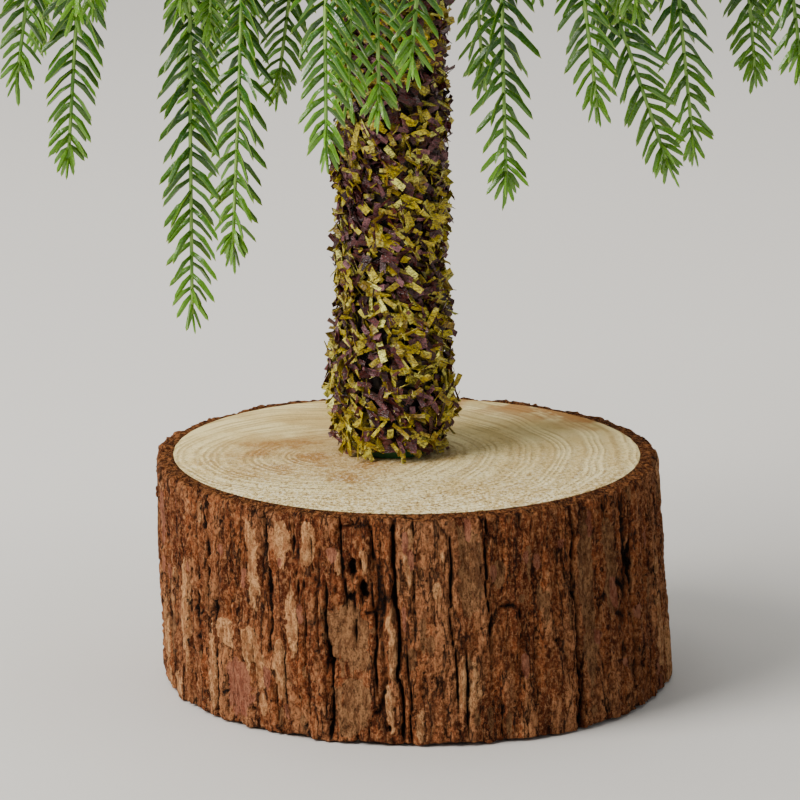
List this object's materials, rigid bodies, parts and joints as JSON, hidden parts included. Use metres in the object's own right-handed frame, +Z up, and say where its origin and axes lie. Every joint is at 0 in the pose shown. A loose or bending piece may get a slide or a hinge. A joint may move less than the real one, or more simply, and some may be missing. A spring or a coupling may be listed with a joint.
{
  "type": "artificial tabletop tree",
  "caption": "Artificial tabletop tree: bark-covered log slice foot, garland-wound trunk and drooping needle sprays on wire branches that bend at the root.",
  "frame": {"origin": "middle of the log slice's underside, on the surface the tree stands on", "axes": "+Z up along the trunk, -Y toward the picture's camera (the front), +X to the right"},
  "size_m": [0.2706, 0.2936, 0.6],
  "materials": {
    "sawn_wood": "matte",
    "bark": "matte",
    "green_coated_steel": "satin",
    "garland_strips": "satin",
    "garland_wire": "satin",
    "stem_tape": "matte",
    "branch_tape": "matte",
    "needle_green": "satin"
  },
  "bodies": {
    "base": {"log_wood": "sawn_wood", "bark": "bark", "pole": "green_coated_steel", "stem": "stem_tape", "trunk_garland": "garland_strips", "garland_core_wire": "garland_wire", "leader_spray": "needle_green"},
    "branch_01": {"branch_wire_01": "branch_tape", "spray_01": "needle_green"},
    "branch_02": {"branch_wire_02": "branch_tape", "spray_02": "needle_green"},
    "branch_03": {"branch_wire_03": "branch_tape", "spray_03": "needle_green"},
    "branch_04": {"branch_wire_04": "branch_tape", "spray_04": "needle_green"},
    "branch_05": {"branch_wire_05": "branch_tape", "spray_05": "needle_green"},
    "branch_06": {"branch_wire_06": "branch_tape", "spray_06": "needle_green"},
    "branch_07": {"branch_wire_07": "branch_tape", "spray_07": "needle_green"},
    "branch_08": {"branch_wire_08": "branch_tape", "spray_08": "needle_green"},
    "branch_09": {"branch_wire_09": "branch_tape", "spray_09": "needle_green"},
    "branch_10": {"branch_wire_10": "branch_tape", "spray_10": "needle_green"},
    "branch_11": {"branch_wire_11": "branch_tape", "spray_11": "needle_green"},
    "branch_12": {"branch_wire_12": "branch_tape", "spray_12": "needle_green"},
    "branch_13": {"branch_wire_13": "branch_tape", "spray_13": "needle_green"},
    "branch_14": {"branch_wire_14": "branch_tape", "spray_14": "needle_green"},
    "branch_15": {"branch_wire_15": "branch_tape", "spray_15": "needle_green"},
    "branch_16": {"branch_wire_16": "branch_tape", "spray_16": "needle_green"},
    "branch_17": {"branch_wire_17": "branch_tape", "spray_17": "needle_green"},
    "branch_18": {"branch_wire_18": "branch_tape", "spray_18": "needle_green"},
    "branch_19": {"branch_wire_19": "branch_tape", "spray_19": "needle_green"},
    "branch_20": {"branch_wire_20": "branch_tape", "spray_20": "needle_green"},
    "branch_21": {"branch_wire_21": "branch_tape", "spray_21": "needle_green"},
    "branch_22": {"branch_wire_22": "branch_tape", "spray_22": "needle_green"},
    "branch_23": {"branch_wire_23": "branch_tape", "spray_23": "needle_green"},
    "branch_24": {"branch_wire_24": "branch_tape", "spray_24": "needle_green"}
  },
  "joints": [
    {"name": "bend_01", "type": "hinge", "parent": "base", "child": "branch_01", "pos_m": [-0.00415, -0.00387, 0.205], "axis": [-0.9962, 0.0872, 0], "range_deg": [-10, 45]},
    {"name": "bend_02", "type": "hinge", "parent": "base", "child": "branch_02", "pos_m": [0.00256, -0.00074, 0.205], "axis": [-0.5736, -0.8192, 0], "range_deg": [-10, 45]},
    {"name": "bend_03", "type": "hinge", "parent": "base", "child": "branch_03", "pos_m": [0.00321, 0.00663, 0.205], "axis": [0.4226, -0.9063, 0], "range_deg": [-10, 45]},
    {"name": "bend_04", "type": "hinge", "parent": "base", "child": "branch_04", "pos_m": [-0.00285, 0.01087, 0.205], "axis": [0.9962, -0.0872, 0], "range_deg": [-10, 45]},
    {"name": "bend_05", "type": "hinge", "parent": "base", "child": "branch_05", "pos_m": [-0.00956, 0.00774, 0.205], "axis": [0.5736, 0.8192, 0], "range_deg": [-10, 45]},
    {"name": "bend_06", "type": "hinge", "parent": "base", "child": "branch_06", "pos_m": [-0.01021, 0.00037, 0.205], "axis": [-0.4226, 0.9063, 0], "range_deg": [-10, 45]},
    {"name": "bend_07", "type": "hinge", "parent": "base", "child": "branch_07", "pos_m": [-0.00088, -0.00213, 0.281], "axis": [-0.9063, -0.4226, 0], "range_deg": [-10, 45]},
    {"name": "bend_08", "type": "hinge", "parent": "base", "child": "branch_08", "pos_m": [0.00268, 0.00296, 0.281], "axis": [-0.0872, -0.9962, 0], "range_deg": [-10, 45]},
    {"name": "bend_09", "type": "hinge", "parent": "base", "child": "branch_09", "pos_m": [0.00006, 0.00859, 0.281], "axis": [0.8192, -0.5736, 0], "range_deg": [-10, 45]},
    {"name": "bend_10", "type": "hinge", "parent": "base", "child": "branch_10", "pos_m": [-0.00612, 0.00913, 0.281], "axis": [0.9063, 0.4226, 0], "range_deg": [-10, 45]},
    {"name": "bend_11", "type": "hinge", "parent": "base", "child": "branch_11", "pos_m": [-0.00968, 0.00404, 0.281], "axis": [0.0872, 0.9962, 0], "range_deg": [-10, 45]},
    {"name": "bend_12", "type": "hinge", "parent": "base", "child": "branch_12", "pos_m": [-0.00706, -0.00159, 0.281], "axis": [-0.8192, 0.5736, 0], "range_deg": [-10, 45]},
    {"name": "bend_13", "type": "hinge", "parent": "base", "child": "branch_13", "pos_m": [-0.00394, -0.0015, 0.357], "axis": [-0.9962, 0.0872, 0], "range_deg": [-10, 45]},
    {"name": "bend_14", "type": "hinge", "parent": "base", "child": "branch_14", "pos_m": [0.00061, 0.00062, 0.357], "axis": [-0.5736, -0.8192, 0], "range_deg": [-10, 45]},
    {"name": "bend_15", "type": "hinge", "parent": "base", "child": "branch_15", "pos_m": [0.00105, 0.00562, 0.357], "axis": [0.4226, -0.9063, 0], "range_deg": [-10, 45]},
    {"name": "bend_16", "type": "hinge", "parent": "base", "child": "branch_16", "pos_m": [-0.00306, 0.0085, 0.357], "axis": [0.9962, -0.0872, 0], "range_deg": [-10, 45]},
    {"name": "bend_17", "type": "hinge", "parent": "base", "child": "branch_17", "pos_m": [-0.00761, 0.00638, 0.357], "axis": [0.5736, 0.8192, 0], "range_deg": [-10, 45]},
    {"name": "bend_18", "type": "hinge", "parent": "base", "child": "branch_18", "pos_m": [-0.00805, 0.00138, 0.357], "axis": [-0.4226, 0.9063, 0], "range_deg": [-10, 45]},
    {"name": "bend_19", "type": "hinge", "parent": "base", "child": "branch_19", "pos_m": [-0.00188, 0.00003, 0.433], "axis": [-0.9063, -0.4226, 0], "range_deg": [-10, 45]},
    {"name": "bend_20", "type": "hinge", "parent": "base", "child": "branch_20", "pos_m": [0.00031, 0.00317, 0.433], "axis": [-0.0872, -0.9962, 0], "range_deg": [-10, 45]},
    {"name": "bend_21", "type": "hinge", "parent": "base", "child": "branch_21", "pos_m": [-0.0013, 0.00664, 0.433], "axis": [0.8192, -0.5736, 0], "range_deg": [-10, 45]},
    {"name": "bend_22", "type": "hinge", "parent": "base", "child": "branch_22", "pos_m": [-0.00512, 0.00697, 0.433], "axis": [0.9063, 0.4226, 0], "range_deg": [-10, 45]},
    {"name": "bend_23", "type": "hinge", "parent": "base", "child": "branch_23", "pos_m": [-0.00731, 0.00383, 0.433], "axis": [0.0872, 0.9962, 0], "range_deg": [-10, 45]},
    {"name": "bend_24", "type": "hinge", "parent": "base", "child": "branch_24", "pos_m": [-0.0057, 0.00036, 0.433], "axis": [-0.8192, 0.5736, 0], "range_deg": [-10, 45]}
  ]
}
